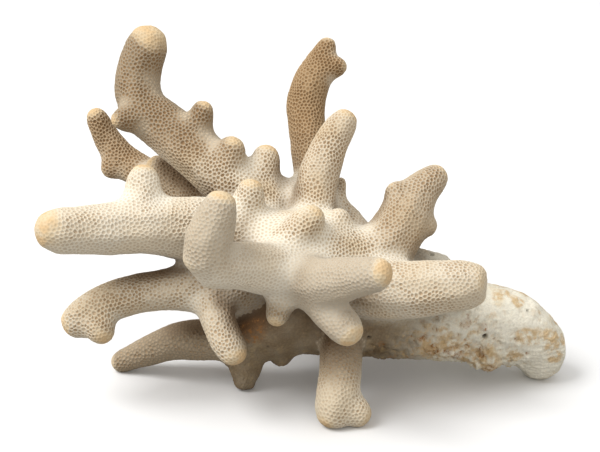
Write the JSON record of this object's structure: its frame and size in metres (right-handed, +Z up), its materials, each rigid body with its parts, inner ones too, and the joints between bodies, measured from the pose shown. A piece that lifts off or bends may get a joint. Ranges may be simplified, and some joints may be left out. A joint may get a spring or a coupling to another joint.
{
  "type": "branching coral",
  "caption": "Bleached branching coral lying on its side: a worn trunk, cut off flat, flares into a crown of round-ended branches covered in fine honeycomb pits.",
  "frame": {"origin": "the middle of the footprint box, on the surface that it rests on", "axes": "+X along the trunk towards its cut end, the longest extent; -Y towards the crown's front; +Z up as it lies"},
  "size_m": [0.1648, 0.1134, 0.1098],
  "materials": {
    "coral_cream": "matt cream coral skeleton with close honeycomb pits, brown in the pits and ochre at the tips",
    "coral_tan": "matt tan-brown coral skeleton with close honeycomb pits",
    "coral_shaded": "matt grey-brown coral skeleton of the underside, worn smoother, with shallow pits",
    "trunk_chalk": "rough chalky off-white, eroded and pitted, with orange-brown stains"
  },
  "bodies": {
    "root": {"trunk": "trunk_chalk", "crown": "coral_cream", "left_branch": "coral_cream", "upper_left_branch": "coral_cream", "upper_right_branch": "coral_cream", "right_branch": "coral_cream", "front_left_branch": "coral_cream", "front_right_branch": "coral_cream", "lower_left_branch": "coral_cream", "tall_branch": "coral_tan", "rear_left_branch": "coral_cream", "rear_branch": "coral_cream", "rear_right_branch": "coral_shaded", "rear_stub": "coral_cream", "centre_finger": "coral_cream", "front_finger": "coral_cream", "rear_finger": "coral_cream", "front_foot": "coral_cream", "left_foot": "coral_shaded", "rear_foot": "coral_shaded"}
  },
  "joints": []
}
